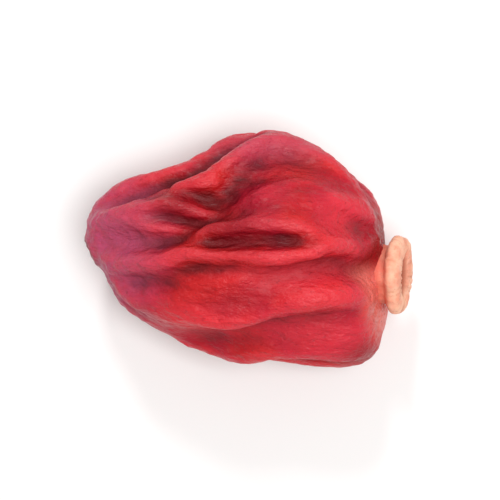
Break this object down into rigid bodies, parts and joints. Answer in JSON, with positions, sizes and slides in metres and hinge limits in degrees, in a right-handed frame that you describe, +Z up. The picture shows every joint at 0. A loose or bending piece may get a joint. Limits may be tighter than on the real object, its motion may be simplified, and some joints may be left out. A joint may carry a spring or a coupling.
{
  "type": "dried barberry",
  "caption": "Shrivelled oblong red berry lying on its side, with lengthwise folds and the flower's dry pale round stigma on its broad end.",
  "frame": {"origin": "on the surface that the berry rests on, under the middle of its length and width", "axes": "+X along the fruit towards its stigma, +Z up, +Y across the fruit"},
  "size_m": [0.0092, 0.0068, 0.0053],
  "materials": {
    "dried_skin": "satin",
    "dry_stigma": "matte"
  },
  "bodies": {
    "root": {"fruit": "dried_skin", "stigma": "dry_stigma"}
  },
  "joints": []
}
